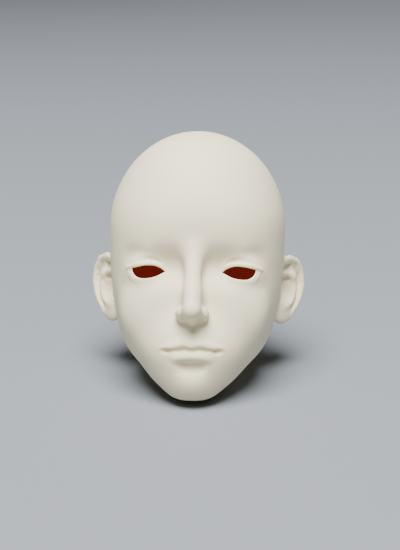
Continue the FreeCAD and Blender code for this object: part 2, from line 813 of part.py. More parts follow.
doc.recompute()
pieces = [head_shell, head_cap, hook_bar, s_hook] + magnets

for item in doc.Objects:
    if "Invalid" in item.State or "Error" in item.State:
        raise RuntimeError("failed object: " + item.Label)
for piece in pieces:
    if piece.Shape.isNull() or not piece.Shape.isValid():
        raise RuntimeError("bad shape: " + piece.Label)

os.makedirs("parts", exist_ok=True)
for piece in pieces:
    piece.Shape.exportStep("parts/" + piece.Label + ".step")
    box = piece.Shape.BoundBox
    print(piece.Label, len(piece.Shape.Solids), "solid", round(piece.Shape.Volume, 1), "mm3",
          [round(v, 2) for v in (box.XMin, box.YMin, box.ZMin, box.XMax, box.YMax, box.ZMax)])
print("hook hangs at", round(hang_angle, 2), "degrees")
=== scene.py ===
import bpy
import bmesh
import math
import numpy as np
from mathutils import Matrix, Vector


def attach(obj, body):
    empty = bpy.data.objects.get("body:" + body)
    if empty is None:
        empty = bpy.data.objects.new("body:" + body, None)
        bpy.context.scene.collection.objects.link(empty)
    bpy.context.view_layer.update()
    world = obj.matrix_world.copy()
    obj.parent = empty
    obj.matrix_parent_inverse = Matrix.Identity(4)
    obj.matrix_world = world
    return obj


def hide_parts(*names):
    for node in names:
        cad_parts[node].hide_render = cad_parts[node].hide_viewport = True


# A ball-jointed doll's head in ivory resin. The castings are shaped in millimetres in the face's
# own frame, which stands on the underside of the chin, and are then brought to the model's frame.
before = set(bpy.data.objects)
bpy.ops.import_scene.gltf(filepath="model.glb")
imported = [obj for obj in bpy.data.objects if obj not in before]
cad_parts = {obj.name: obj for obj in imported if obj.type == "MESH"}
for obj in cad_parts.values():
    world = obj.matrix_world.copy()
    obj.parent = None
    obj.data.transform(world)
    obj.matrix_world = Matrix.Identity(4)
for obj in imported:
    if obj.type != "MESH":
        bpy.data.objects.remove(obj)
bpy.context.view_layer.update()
print("loaded", len(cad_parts), "CAD nodes")

millimetre = 0.001
placing = {"neckBack": 4.0, "neckRise": 7.2, "lean": 14.0}
toNeck = Matrix.Rotation(math.radians(-placing["lean"]), 4, "X") @ Matrix.Translation(
    (0, -placing["neckBack"], -placing["neckRise"]))
toFace = toNeck.inverted()
toModel = Matrix.Scale(millimetre, 4) @ toNeck

# The skull: level sections up to the temples, then a dome to the crown. Each section has its
# level, half width, front, place of the greatest width, and back.
skull = {
    "sections": [
        (-4.0, 1.9, -28.6, -27.7, -26.8), (0.0, 4.2, -31.0, -27.8, -24.7),
        (4.4, 9.9, -33.4, -23.6, -16.0), (8.5, 14.7, -34.2, -18.5, -7.5),
        (12.6, 18.5, -34.4, -13.5, 1.0), (16.7, 22.4, -34.6, -9.0, 10.0),
        (20.6, 25.0, -34.8, -5.5, 16.0), (27.3, 27.5, -34.8, -2.0, 24.0),
        (34.7, 29.0, -34.6, -0.5, 30.0), (42.0, 30.0, -34.6, 0.5, 35.0),
        (51.0, 30.7, -35.6, 1.5, 39.0), (60.3, 31.0, -36.4, 2.0, 40.8),
    ],
    "crown": 94.3, "squareness": 0.35, "squareEnd": 78.0, "squareFade": 22.0,
    "underBlend": 3.0, "chinLevel": 0.8, "middle": (0.0, 6.0, 42.0), "wall": 3.5,
    "castTo": 70.0, "skinMesh": 6, "hollowMesh": 5,
}

# What is added to the skull or carved from it, on the left and mirrored to the right: a sign,
# a kind, its points or its centre, its radii or half sizes, and the blend's width.
features = {
    "neckColumn": (1, "ridge", [(0, 4.7, 4.3), (0, -0.4, 24.7)], (13.2, 16.2), 8),
    "chin": (1, "ball", (0, -29.8, 7.2), (5.4, 6.6, 5.2), 6),
    "cheek": (1, "ball", (14.0, -25.0, 31.5), (8.5, 5.4, 8.5), 10),
    "innerSocket": (-1, "ball", (10.4, -38.3, 46.2), (8.6, 6.0, 3.9), 6.5),
    "outerSocket": (-1, "ball", (24.4, -32.8, 47.6), (5.0, 5.4, 3.6), 5.5),
    "eyeball": (1, "ball", (15.2, -23.8, 43.9), (8.2, 8.6, 7.4), 2.4),
    "noseBridge": (1, "ridge", [(0, -33.0, 51.5), (0, -41.5, 36.5), (0, -43.2, 32.6)],
                   (3.1, 2.3, 2.4), 3.5),
    "noseBody": (1, "ball", (0, -38.0, 34.8), (3.4, 4.8, 6.4), 3),
    "noseTip": (1, "ball", (0, -42.9, 31.4), (2.8, 3.1, 2.8), 2),
    "noseWing": (1, "ball", (3.75, -38.9, 30.6), (1.95, 2.8, 2.0), 2.0),
    "noseStrip": (1, "ridge", [(0, -39.0, 29.2), (0, -42.4, 29.9)], (1.1, 1.3), 1.4),
    "muzzle": (1, "ball", (0, -29.0, 18.2), (12.5, 8.4, 8.6), 9),
    "nostril": (-1, "ball", (3.1, -40.4, 28.6), (1.2, 1.8, 0.9), 0.8),
    "philtrum": (-1, "ridge", [(0, -40.0, 25.4), (0, -40.4, 21.8)], (1.0, 1.2), 1.6),
    "upperLip": (1, "ridge", [(0, -38.4, 19.8), (3.0, -38.25, 20.4), (6.4, -37.3, 19.5),
                              (9.6, -36.1, 18.5)], (1.0, 1.15, 0.9, 0.4), 1.8),
    "lowerLip": (1, "ball", (0, -36.3, 15.9), (7.0, 3.3, 2.8), 1.3),
    "mouthLine": (-1, "ridge", [(0, -39.3, 18.1), (2.4, -39.2, 18.6), (5.0, -38.6, 18.3),
                                (7.4, -37.75, 18.1), (9.0, -37.3, 18.0)],
                  (0.6, 0.55, 0.4, 0.25, 0.1), 1.0),
    "mouthCorner": (-1, "ball", (9.3, -37.25, 17.95), (1.6, 0.85, 0.5), 1.2),
    "chinFold": (-1, "ridge", [(0, -38.9, 12.4), (2.8, -38.4, 12.6)], (1.9, 1.3), 2.8),
}

# The eye opening from its inner corner, about the middle of the eye, and the lids round it.
eye = {
    "middle": (15.1, -24.6, 44.1), "wellRadius": 7.1, "cupWall": 2.0, "rimRound": 0.4,
    "upper": [(-5.6, 0.1), (-4.3, 1.1), (-3.2, 1.65), (-1.9, 2.07), (0, 2.2), (2.1, 1.97),
              (3.3, 1.73), (5.6, 1.22)],
    "outer": [(5.6, 1.22), (5.5, 0.07)],
    "lower": [(5.5, 0.07), (4.75, -1.15), (3.4, -2.0), (1.9, -2.25), (-0.35, -2.07),
              (-2.35, -1.56), (-4.3, -0.6), (-5.6, 0.1)],
    "ballHalf": (8.8, 8.3, 9.0), "ballForward": 0.8,
    "castFrom": -24.0, "castTo": -48.0, "near": 13.0, "cutFrom": -26.0, "cutHalf": (8.0, 4.5),
    "snap": 0.11, "trim": 0.02, "rimSteps": 5, "wellSteps": 14, "wellTurn": 168.0,
}
# Ridges and folds that follow the lids: a sign, points, lift, depth, spread, radius and blend.
# Each fades out towards its ends.
lidLines = {
    "upperRim": (1, [(-5.9, -0.3), (-4.3, 1.1), (-3.2, 1.65), (-1.9, 2.07), (0, 2.2), (2.1, 1.97),
                     (3.3, 1.73), (5.2, 1.2), (6.6, 0.5)], 0.75, 0.55, 0.9, 0.95, 1.2),
    "lowerRim": (1, [(5.7, 0.4), (5.2, -0.5), (4.4, -1.3), (3.2, -2.0), (1.5, -2.2), (-0.35, -2.07),
                     (-2.35, -1.56), (-4.3, -0.7), (-6.2, 0)], -0.75, 0.75, 0.8, 0.8, 1.2),
    "crease": (-1, [(-3.6, 1.7), (-2.0, 2.5), (0.2, 2.85), (2.3, 2.6), (4.6, 2.0), (6.8, 1.1)],
               1.45, -0.5, 0.4, 0.5, 1.2),
}


def easedColumn(levels, values):
    # a curve through the values that never overshoots them, read at 600 levels
    steps = np.diff(levels)
    rises = np.diff(values) / steps
    slopes = np.zeros(len(levels))
    for i in range(1, len(levels) - 1):
        if rises[i - 1] * rises[i] > 0:
            before = 2 * steps[i] + steps[i - 1]
            after = steps[i] + 2 * steps[i - 1]
            slopes[i] = (before + after) / (before / rises[i - 1] + after / rises[i])
    slopes[0] = rises[0]
    fine = np.linspace(levels[0], levels[-1], 600)
    i = np.clip(np.searchsorted(levels, fine) - 1, 0, len(levels) - 2)
    t = (fine - levels[i]) / steps[i]
    curve = (values[i] * (1 + 2 * t) * (1 - t) ** 2 + steps[i] * slopes[i] * t * (1 - t) ** 2
             + values[i + 1] * t * t * (3 - 2 * t) + steps[i] * slopes[i + 1] * t * t * (t - 1))
    return fine, curve


sectionTable = np.array(skull["sections"])
sectionCurves = [easedColumn(sectionTable[:, 0], sectionTable[:, k]) for k in range(1, 5)]


def smooth(t):
    t = np.clip(t, 0, 1)
    return t * t * (3 - 2 * t)


def join(a, b, width):
    # the smaller of two distances, with a rounded inner corner
    overlap = np.maximum(width - np.abs(a - b), 0) / width
    return np.minimum(a, b) - overlap * overlap * width / 4


def carve(a, b, width):
    return -join(-a, b, width)


def ballDistance(p, centre, halves):
    q = (p - np.array(centre)) / np.array(halves)
    near = np.sqrt((q * q).sum(-1))
    slope = np.sqrt(((q / np.array(halves)) ** 2).sum(-1)) + 1e-9
    return near * (near - 1) / slope


def ridgeDistance(p, start, end, radii):
    start = np.array(start, float)
    run = np.array(end, float) - start
    t = np.clip(((p - start) @ run) / (run @ run), 0, 1)
    near = np.sqrt(((p - start - t[..., None] * run) ** 2).sum(-1))
    return near - radii[0] - (radii[1] - radii[0]) * t


def chainDistance(p, points, radii):
    # the nearest of the straight ridges along a row of points, with a radius at each point
    return np.min([ridgeDistance(p, a, b, (ra, rb))
                   for a, b, ra, rb in zip(points, points[1:], radii, radii[1:])], axis=0)


def skullDistance(p):
    z = p[:, 2]
    half, front, middle, back = [np.interp(z, *curve) for curve in sectionCurves]
    domeStart = sectionTable[-1, 0]
    rise = np.maximum(z - domeStart, 0) / (skull["crown"] - domeStart)
    dome = np.sqrt(np.clip(1 - rise * rise, 1e-4, 1))
    power = 2 + skull["squareness"] * smooth((skull["squareEnd"] - z) / skull["squareFade"])
    along = p[:, 1] - middle
    length = np.where(along < 0, middle - front, back - middle)
    ratio = ((np.abs(p[:, 0]) / (half * dome)) ** power
             + (np.abs(along) / (length * dome)) ** power) ** (1 / power)
    distance = (ratio - 1) * np.minimum(half, length) * dome
    distance = np.where(z > skull["crown"] - 0.5, np.maximum(distance, z - skull["crown"]), distance)
    return carve(distance, z, skull["underBlend"])


def lidPoints(points, lift, depth, spread):
    places = []
    ball = eye["ballHalf"]
    for x, z in points:
        x += spread * x / 6
        z += lift
        bulge = math.sqrt(max(0.02, 1 - (x / ball[0]) ** 2 - (z / ball[2]) ** 2))
        y = eye["middle"][1] + eye["ballForward"] - ball[1] * bulge + depth
        places.append((eye["middle"][0] + x, y, eye["middle"][2] + z))
    return places


def fadedRadii(radius, count):
    return [radius * min(1, 0.25 + 0.75 * min(k, count - 1 - k) / 2) for k in range(count)]


lidChains = [(sign, lidPoints(points, lift, depth, spread), fadedRadii(radius, len(points)), blend)
             for sign, points, lift, depth, spread, radius, blend in lidLines.values()]


def faceDistance(p):
    # distance outside the finished face, without its openings and ears
    p = np.stack([np.abs(p[:, 0]), p[:, 1], p[:, 2]], 1)
    distance = skullDistance(p)
    for sign, kind, place, size, blend in features.values():
        other = chainDistance(p, place, size) if kind == "ridge" else ballDistance(p, place, size)
        distance = join(distance, other, blend) if sign > 0 else carve(distance, other, blend)
    distance = carve(distance, p[:, 2] - skull["chinLevel"], skull["underBlend"])
    close = np.abs(p - np.array(eye["middle"])).max(1) < eye["near"]
    if close.any():
        for sign, places, radii, blend in lidChains:
            other = chainDistance(p[close], places, radii)
            near = distance[close]
            distance[close] = join(near, other, blend) if sign > 0 else carve(near, other, blend)
    return distance


def slopeOf(form, p, step=0.02):
    here = form(p)
    slope = np.stack([(form(p + step * np.eye(3)[k]) - here) / step for k in range(3)], 1)
    return here, slope


def settle(form, p, rounds=3):
    # moves points along the form's slope on to its skin
    for _ in range(rounds):
        here, slope = slopeOf(form, p)
        steep = (slope * slope).sum(1)
        move = here / np.maximum(steep, 0.09)
        p = p - slope * np.clip(move, -1.0, 1.0)[:, None]
    return p


def towards(form, inside, outside, rounds=20):
    # where the lines from inside points to outside points leave the form
    low = np.zeros(len(inside))
    high = np.ones(len(inside))
    for _ in range(rounds):
        middle = (low + high) / 2
        within = form(inside + (outside - inside) * middle[:, None]) < 0
        low = np.where(within, middle, low)
        high = np.where(within, high, middle)
    return inside + (outside - inside) * ((low + high) / 2)[:, None]


def readPoints(verts):
    return np.array([v.co for v in verts])


def writePoints(verts, points):
    for v, p in zip(verts, points):
        v.co = p


def relax(bm, verts, form, rounds=2, factor=0.5):
    for _ in range(rounds):
        bmesh.ops.smooth_vert(bm, verts=verts, factor=factor,
                              use_axis_x=True, use_axis_y=True, use_axis_z=True)
        writePoints(verts, settle(form, readPoints(verts), 2))


def refine(bm, within, form):
    # splits the edges inside a region and settles the new points
    edges = [e for e in bm.edges if within((e.verts[0].co + e.verts[1].co) / 2)]
    made = bmesh.ops.subdivide_edges(bm, edges=edges, cuts=1, use_grid_fill=True)
    verts = [g for g in made["geom_inner"] if isinstance(g, bmesh.types.BMVert)]
    bmesh.ops.triangulate(bm, faces=[f for f in bm.faces if len(f.verts) > 3])
    writePoints(verts, settle(form, readPoints(verts), 2))
    return verts


# Where the mesh is made finer. A place lies in front of a level in Y, and has boxes with the middle
# and half size in X and Z, or a ring round the eye, in shares of an ellipse with a lift of its own.
finer = {
    "face": (-26, [(0, 32, 24, 22)]),
    "lidsNoseMouth": (-26, [(15.1, 44.6, 9.5, 5.8), (0, 36, 7.5, 11), (0, 17, 13, 5.5)]),
    "lipLine": (-30, [(0, 18.3, 11.6, 1.3)]),
    "eyeRing": {"front": -24, "half": (7.6, 4.6), "lift": 0.5, "shares": (0.35, 1.2)},
}


def inBoxes(co, place):
    front, boxes = finer[place]
    return co.y < front and any(abs(abs(co.x) - x) < halfX and abs(co.z - z) < halfZ
                                for x, z, halfX, halfZ in boxes)


def faceRegion(co):
    return inBoxes(co, "face")


def fineRegion(co):
    return inBoxes(co, "lidsNoseMouth")


def lineRegion(co):
    # close to the line between the lips or to the rim of an eye
    ring = finer["eyeRing"]
    across = (abs(co.x) - eye["middle"][0]) / ring["half"][0]
    up = (co.z - eye["middle"][2] - ring["lift"]) / ring["half"][1]
    low, high = ring["shares"]
    return inBoxes(co, "lipLine") or (co.y < ring["front"] and low < across * across + up * up < high)


def castBall(form, subdivisions):
    # a ball of points sent out from the middle of the skull to a form's skin
    bm = bmesh.new()
    bmesh.ops.create_icosphere(bm, subdivisions=subdivisions, radius=1)
    verts = list(bm.verts)
    rays = readPoints(verts)
    middle = np.array([skull["middle"]] * len(verts))
    writePoints(verts, towards(form, middle, middle + rays * skull["castTo"]))
    return bm, verts


def shapedHead():
    bm, verts = castBall(faceDistance, skull["skinMesh"])
    relax(bm, verts, faceDistance, 3)
    refine(bm, faceRegion, faceDistance)
    refine(bm, fineRegion, faceDistance)
    close = [v for v in bm.verts if fineRegion(v.co)]
    relax(bm, close, faceDistance, 5, 0.5)
    refine(bm, lineRegion, faceDistance)
    close = [v for v in bm.verts if lineRegion(v.co)]
    relax(bm, close, faceDistance, 4, 0.5)
    return bm


def splined(points, fine=8):
    # a smooth curve through given points, as many short steps
    padded = [2 * np.array(points[0]) - points[1]] + [np.array(p, float) for p in points]
    padded.append(2 * np.array(points[-1]) - points[-2])
    curve = []
    for a, b, c, d in zip(padded, padded[1:], padded[2:], padded[3:]):
        for k in range(fine):
            t = k / fine
            curve.append(0.5 * (2 * b + (c - a) * t + (2 * a - 5 * b + 4 * c - d) * t * t
                                + (3 * b - a - 3 * c + d) * t ** 3))
    return curve


def eyeOutline():
    points = np.array(splined(eye["upper"]) + splined(eye["outer"]) + splined(eye["lower"]))
    ahead = np.roll(points, -1, 0) - np.roll(points, 1, 0)
    normals = np.stack([-ahead[:, 1], ahead[:, 0]], 1)
    normals /= np.linalg.norm(normals, axis=1)[:, None]
    return points, normals


def nearestOnOutline(outline, xz):
    # signed distance (inside is negative), and the nearest point with its normal
    points, normals = outline
    ends = np.roll(points, -1, 0)
    run = ends - points
    gap = xz[:, None, :] - points[None]
    t = np.clip((gap * run).sum(-1) / (run * run).sum(-1), 0, 1)
    spots = points[None] + t[..., None] * run[None]
    apart = np.linalg.norm(xz[:, None, :] - spots, axis=-1)
    best = apart.argmin(1)
    rows = np.arange(len(xz))
    share = t[rows, best][:, None]
    normal = normals[best] * (1 - share) + np.roll(normals, -1, 0)[best] * share
    normal /= np.linalg.norm(normal, axis=1)[:, None]
    spot = spots[rows, best]
    side = np.sign(((xz - spot) * normal).sum(1))
    return apart[rows, best] * side, spot, normal


def frontOf(x, z):
    # the face's surface straight ahead of places in X and Z
    inner = np.stack([x, np.full(len(x), eye["castFrom"]), z], 1)
    outer = np.stack([x, np.full(len(x), eye["castTo"]), z], 1)
    return towards(faceDistance, inner, outer, 22)


def rimPlace(b, n, share):
    # on the rounded rim, a quarter turn from the skin to the well
    turn = math.pi / 2 * share
    out = eye["rimRound"] * (1 - math.sin(turn))
    return b.x + n.x * out, b.z + eye["rimRound"] * (1 - math.cos(turn)), b.y + n.y * out


def wellPlace(b, n, share):
    # on the round well behind the opening, from its edge to its back
    radius = eye["wellRadius"]
    off = math.hypot(b.x, b.y)
    start = math.asin(off / radius)
    polar = start + (math.radians(eye["wellTurn"]) - start) * share
    return (b.x / off * radius * math.sin(polar), eye["middle"][1] - radius * math.cos(polar),
            b.y / off * radius * math.sin(polar))


def openEye(bm, side):
    # cuts the almond between the lids, rolls its rim inwards and hollows the well behind it
    base = bm.verts.layers.float_vector.get("base") or bm.verts.layers.float_vector.new("base")
    lean = bm.verts.layers.float_vector.get("lean") or bm.verts.layers.float_vector.new("lean")
    middle = np.array(eye["middle"])
    outline = eyeOutline()
    points, normals = outline
    rim = (points + normals * eye["rimRound"], normals)

    def local(places):
        return np.stack([places[:, 0] * side - middle[0], places[:, 2] - middle[2]], 1)

    def onRim(verts):
        _, spot, _ = nearestOnOutline(rim, local(readPoints(verts)))
        front = frontOf(spot[:, 0] + middle[0], spot[:, 1] + middle[2])
        front[:, 0] *= side
        writePoints(verts, front)

    halfX, halfZ = eye["cutHalf"]
    close = [v for v in bm.verts if v.co.y < eye["cutFrom"]
             and abs(v.co.x * side - middle[0]) < halfX and abs(v.co.z - middle[2]) < halfZ]
    gaps, _, _ = nearestOnOutline(rim, local(readPoints(close)))
    onRim([v for v, gap in zip(close, gaps) if abs(gap) < eye["snap"]])
    faces = list({f for v in close for f in v.link_faces})
    centres = np.array([f.calc_center_median() for f in faces])
    gaps, _, _ = nearestOnOutline(rim, local(centres))
    bmesh.ops.delete(bm, geom=[f for f, gap in zip(faces, gaps) if gap < eye["trim"]], context="FACES")
    edges = [e for e in bm.edges if e.is_boundary and e.verts[0].co.x * side > 0]
    ring = list({v for e in edges for v in e.verts})
    onRim(ring)
    fixed = set(ring)
    relax(bm, [v for v in close if v.is_valid and v not in fixed], faceDistance, 3, 0.4)

    # each point of the ring keeps its spot on the opening's outline, and the outline's normal there
    _, spot, normal = nearestOnOutline(outline, local(readPoints(ring)))
    for v, b, n in zip(ring, spot, normal):
        v[base] = (b[0], b[1], v.co.y)
        v[lean] = (n[0], n[1], 0)
    rings = [(rimPlace, k / eye["rimSteps"]) for k in range(1, eye["rimSteps"] + 1)]
    rings += [(wellPlace, k / eye["wellSteps"]) for k in range(eye["wellSteps"] + 1)]
    for place, share in rings:
        made = bmesh.ops.extrude_edge_only(bm, edges=edges)["geom"]
        for v in made:
            if isinstance(v, bmesh.types.BMVert):
                x, y, z = place(v[base], v[lean], share)
                v.co = (side * (middle[0] + x), y, middle[2] + z)
        edges = [e for e in made if isinstance(e, bmesh.types.BMEdge) and e.is_boundary]
    bmesh.ops.edgeloop_fill(bm, edges=edges)


def meshObject(name, bm, matrix=None):
    bmesh.ops.triangulate(bm, faces=[f for f in bm.faces if len(f.verts) > 4])
    bmesh.ops.recalc_face_normals(bm, faces=bm.faces)
    if matrix is not None:
        bmesh.ops.transform(bm, matrix=matrix, verts=bm.verts)
    mesh = bpy.data.meshes.new(name)
    bm.to_mesh(mesh)
    bm.free()
    made = bpy.data.objects.new(name, mesh)
    bpy.context.scene.collection.objects.link(made)
    return made


def cut(target, tools, how="DIFFERENCE"):
    # joins closed tools to a closed piece, or takes them away, and throws the tools away
    for tool in tools:
        change = target.modifiers.new(tool.name, "BOOLEAN")
        change.operation = how
        change.solver = "MANIFOLD"
        change.object = tool
    result = bpy.data.meshes.new_from_object(target.evaluated_get(bpy.context.evaluated_depsgraph_get()))
    target.modifiers.clear()
    old = target.data
    target.data = result
    bpy.data.meshes.remove(old)
    for tool in tools:
        bpy.data.objects.remove(tool)
    return target


def duplicate(source, name):
    made = source.copy()
    made.data = source.data.copy()
    made.name = name
    bpy.context.scene.collection.objects.link(made)
    return made


# The ear, in its own plane: U runs back along the ear, V up, and W out from the plate.
ear = {
    "level": 38.9, "back": 3.0, "inset": 1.6, "flare": 35.0, "tilt": 8.0, "rootReach": 45.0,
    "outline": [(-2.5, 8.0), (1.6, 11.0), (6.6, 12.5), (11.9, 11.2), (15.5, 7.0), (16.5, 1.7),
                (15.3, -3.3), (12.7, -7.3), (9.2, -10.8), (5.3, -12.5), (1.6, -11.5),
                (-1.0, -8.0), (-3.0, -2.8), (-3.3, 3.0)],
    "middle": (7.0, 0.6),
    "plate": (-1.9, -0.4), "plateInset": 1.1, "plateRound": 0.5,
    "helix": [(3.6, 0.9, -0.6), (1.0, 3.2, 0.2), (0.2, 6.4, 0.7), (2.2, 9.6, 1.0), (6.6, 11.1, 1.2),
              (11.0, 10.0, 1.2), (14.1, 6.5, 1.1), (15.1, 1.8, 1.0), (14.1, -2.8, 0.8), (11.8, -6.6, 0.4),
              (9.2, -9.4, -0.2)],
    "helixRadii": [0.7, 0.9, 1.0, 1.15, 1.25, 1.3, 1.3, 1.25, 1.1, 1.0, 0.9],
    "helixBlend": 0.8,
    "folds": {
        "antihelix": [(5.0, -6.4, -0.1), (8.4, -5.2, 0.3), (10.4, -2.0, 0.5), (10.8, 1.6, 0.5),
                      (9.8, 4.6, 0.4)],
        "upperFork": [(9.8, 4.6, 0.4), (9.0, 8.4, -0.2)],
        "frontFork": [(9.8, 4.6, 0.4), (5.2, 5.5, -0.2)],
    },
    "foldRadius": 1.15, "foldBlend": 1.4,
    # a centre, half sizes and a blend each
    "swellings": {
        "lobe": ((4.8, -9.2, -0.5), (4.6, 3.3, 1.7), 2.0),
        "antitragus": ((4.2, -6.4, 0.1), (2.0, 1.4, 1.4), 1.2),
        "tragus": ((0.4, -2.0, 0.5), (1.3, 2.6, 1.6), 1.0),
        "backing": ((4.0, 0.0, -2.0), (7.0, 8.0, 2.3), 2.0),
    },
    "hollows": {
        "concha": ((5.0, -1.0, 1.0), (4.2, 4.6, 3.4), 1.2),
        "upperConcha": ((5.6, 3.2, 0.4), (2.8, 1.6, 1.6), 1.0),
    },
    # shares and levels between which the skin is looked for, and the stretch that is blended
    "castOut": (1.15, 5.5, -0.3), "castIn": (0.86, -1.5),
    "skinBlend": 1.6, "blendLow": (-8.0, -15.0, -7.0), "blendHigh": (18.5, 15.0, 7.0), "blendSide": 22.0,
}


def earAxes(side):
    flare = math.radians(ear["flare"])
    tilt = math.radians(ear["tilt"])
    start = np.array([[0.0, ear["back"], ear["level"]]])
    skin = towards(skullDistance, start, start + np.array([[ear["rootReach"], 0, 0]]), 24)[0]
    root = np.array((side * (skin[0] - ear["inset"]), skin[1], skin[2]))
    back = (math.sin(flare) * side, math.cos(flare), 0)
    up = (0, math.sin(tilt), math.cos(tilt))
    out = (math.cos(flare) * side, -math.sin(flare), 0)
    return root, np.array((back, up, out))


def outlineGap(points, uv):
    # signed distance to a closed outline in the ear's plane, inside negative
    ends = np.roll(points, -1, 0)
    run = ends - points
    gap = uv[:, None, :] - points[None]
    t = np.clip((gap * run).sum(-1) / (run * run).sum(-1), 0, 1)
    apart = np.linalg.norm(gap - t[..., None] * run, axis=-1).min(1)
    above = points[None, :, 1] > uv[:, None, 1]
    crossing = above != (ends[None, :, 1] > uv[:, None, 1])
    rise = np.where(run[:, 1] == 0, 1e-9, run[:, 1])
    reach = (uv[:, None, 1] - points[None, :, 1]) / rise * run[:, 0] + points[None, :, 0]
    inside = (crossing & (uv[:, None, 0] < reach)).sum(1) % 2 == 1
    return np.where(inside, -apart, apart)


earOutline = np.array(splined(ear["outline"] + ear["outline"][:2], 4))[:-4]


def earDistance(q):
    # distance outside the ear, before its hollows: a rounded plate with its rim and folds
    low, high = ear["plate"]
    edge = outlineGap(earOutline, q[:, :2]) + ear["plateInset"]
    slab = np.abs(q[:, 2] - (low + high) / 2) - (high - low) / 2 + ear["plateRound"]
    corner = np.hypot(np.maximum(edge, 0), np.maximum(slab, 0))
    distance = np.minimum(np.maximum(edge, slab), 0) + corner - ear["plateRound"]
    distance = join(distance, chainDistance(q, ear["helix"], ear["helixRadii"]), ear["helixBlend"])
    for fold in ear["folds"].values():
        distance = join(distance, chainDistance(q, fold, [ear["foldRadius"]] * len(fold)), ear["foldBlend"])
    for centre, halves, blend in ear["swellings"].values():
        distance = join(distance, ballDistance(q, centre, halves), blend)
    return distance


def earHollows(distance, q):
    for centre, halves, blend in ear["hollows"].values():
        distance = carve(distance, ballDistance(q, centre, halves), blend)
    return distance


def shapedEar(side):
    bm = bmesh.new()
    bmesh.ops.create_icosphere(bm, subdivisions=5, radius=1)
    verts = list(bm.verts)
    rays = readPoints(verts)
    reach = np.hypot(rays[:, 0], rays[:, 1])
    turn = np.arctan2(rays[:, 1], rays[:, 0])
    middle = np.array(ear["middle"])
    spokes = earOutline - middle
    bearings = np.arctan2(spokes[:, 1], spokes[:, 0])
    order = np.argsort(bearings)
    lengths = np.linalg.norm(spokes, axis=1)[order]
    radius = np.interp(turn, bearings[order], lengths, period=2 * math.pi)
    flat = np.stack([np.cos(turn), np.sin(turn)], 1) * (radius * reach)[:, None]
    wider, thickness, lift = ear["castOut"]
    narrower, level = ear["castIn"]
    outer = np.column_stack([middle + flat * wider, rays[:, 2] * thickness + lift])
    inner = np.column_stack([middle + flat * narrower, np.full(len(verts), level)])
    points = towards(earDistance, inner, outer, 22)
    writePoints(verts, points)
    relax(bm, verts, earDistance, 3)
    root, axes = earAxes(side)
    writePoints(verts, root + readPoints(verts) @ axes)
    return meshObject("ear", bm)


def hollowTool(side, name):
    centre, halves, _ = ear["hollows"][name]
    bm = bmesh.new()
    bmesh.ops.create_icosphere(bm, subdivisions=4, radius=1)
    root, axes = earAxes(side)
    verts = list(bm.verts)
    writePoints(verts, root + (readPoints(verts) * np.array(halves) + np.array(centre)) @ axes)
    return meshObject(name, bm)


def blendEar(mesh, side):
    # settles the ear and the skin round it on one form, so that they flow into each other
    root, axes = earAxes(side)
    inverse = np.linalg.inv(axes)

    def form(p):
        q = (p - root) @ inverse
        return earHollows(join(faceDistance(p), earDistance(q), ear["skinBlend"]), q)

    bm = bmesh.new()
    bm.from_mesh(mesh)
    places = readPoints(bm.verts)
    q = (places - root) @ inverse
    near = ((q > ear["blendLow"]) & (q < ear["blendHigh"])).all(1) & (places[:, 0] * side > ear["blendSide"])
    verts = [v for v, flag in zip(bm.verts, near) if flag]
    bmesh.ops.remove_doubles(bm, verts=verts, dist=0.02)
    verts = [v for v in verts if v.is_valid]
    writePoints(verts, settle(form, readPoints(verts), 3))
    relax(bm, verts, form, 4, 0.4)
    bm.to_mesh(mesh)
    bm.free()


# The socket, the seam and the magnets' seats, as in the CAD model.
socket = {"cupRadius": 13.0, "cupDrop": 6.5, "floor": 15.0, "slot": (8.0, 17.0), "barDiameter": 3.0,
          "barLength": 26.0, "clearance": 0.1}
seam = {"back": 17.6, "lean": 14.0, "lip": 1.5, "lipWall": 1.3, "lipSetIn": 2.0, "clearance": 0.2,
        "line": 0.22, "steps": 120, "startShare": 0.13, "reach": 90.0}
magnet = {"diameter": 5.0, "thickness": 2.0, "clearance": 0.1, "bossWall": 1.5, "bossLength": 6.0,
          "angles": (48, -48, 128, -128)}
toSeam = Matrix.Translation((0, seam["back"], skull["crown"] / 2)) @ Matrix.Rotation(
    math.radians(seam["lean"] - 90), 4, "X")
overrun = 2.0
cutter = {"across": 140.0, "along": 160.0, "seamAlong": 300.0, "depth": 100.0, "rimDepth": 60.0}


def block(name, size, place, matrix):
    bm = bmesh.new()
    bmesh.ops.create_cube(bm, size=1)
    bmesh.ops.transform(bm, matrix=Matrix.Translation(place) @ Matrix.Diagonal((*size, 1)), verts=bm.verts)
    return meshObject(name, bm, matrix)


def halfSpace(name, along, low, high, matrix):
    # a cutter wider than the head, between two levels
    return block(name, (cutter["across"], along, high - low), (0, 0, (low + high) / 2), matrix)


def post(name, radius, low, high, matrix, segments=48):
    bm = bmesh.new()
    bmesh.ops.create_cone(bm, cap_ends=True, segments=segments, radius1=radius, radius2=radius,
                          depth=high - low)
    bmesh.ops.transform(bm, matrix=Matrix.Translation((0, 0, (low + high) / 2)), verts=bm.verts)
    return meshObject(name, bm, matrix)


def seamPoint(angle, inset, form=skullDistance):
    # a point of the seam's outline, moved in from the skin along the wall's thickness
    start = toSeam @ Vector((0, -seam["startShare"] * skull["crown"], 0))
    run = toSeam.to_3x3() @ Vector((math.sin(angle), -math.cos(angle), 0))
    skin = towards(form, np.array([start]), np.array([start + run * seam["reach"]]), 26)
    _, slope = slopeOf(form, skin)
    normal = (toSeam.to_3x3().inverted() @ Vector(slope[0])).normalized()
    flat = Vector((normal.x, normal.y, 0))
    return toSeam.inverted() @ Vector(skin[0]) - flat * (inset / flat.dot(flat))


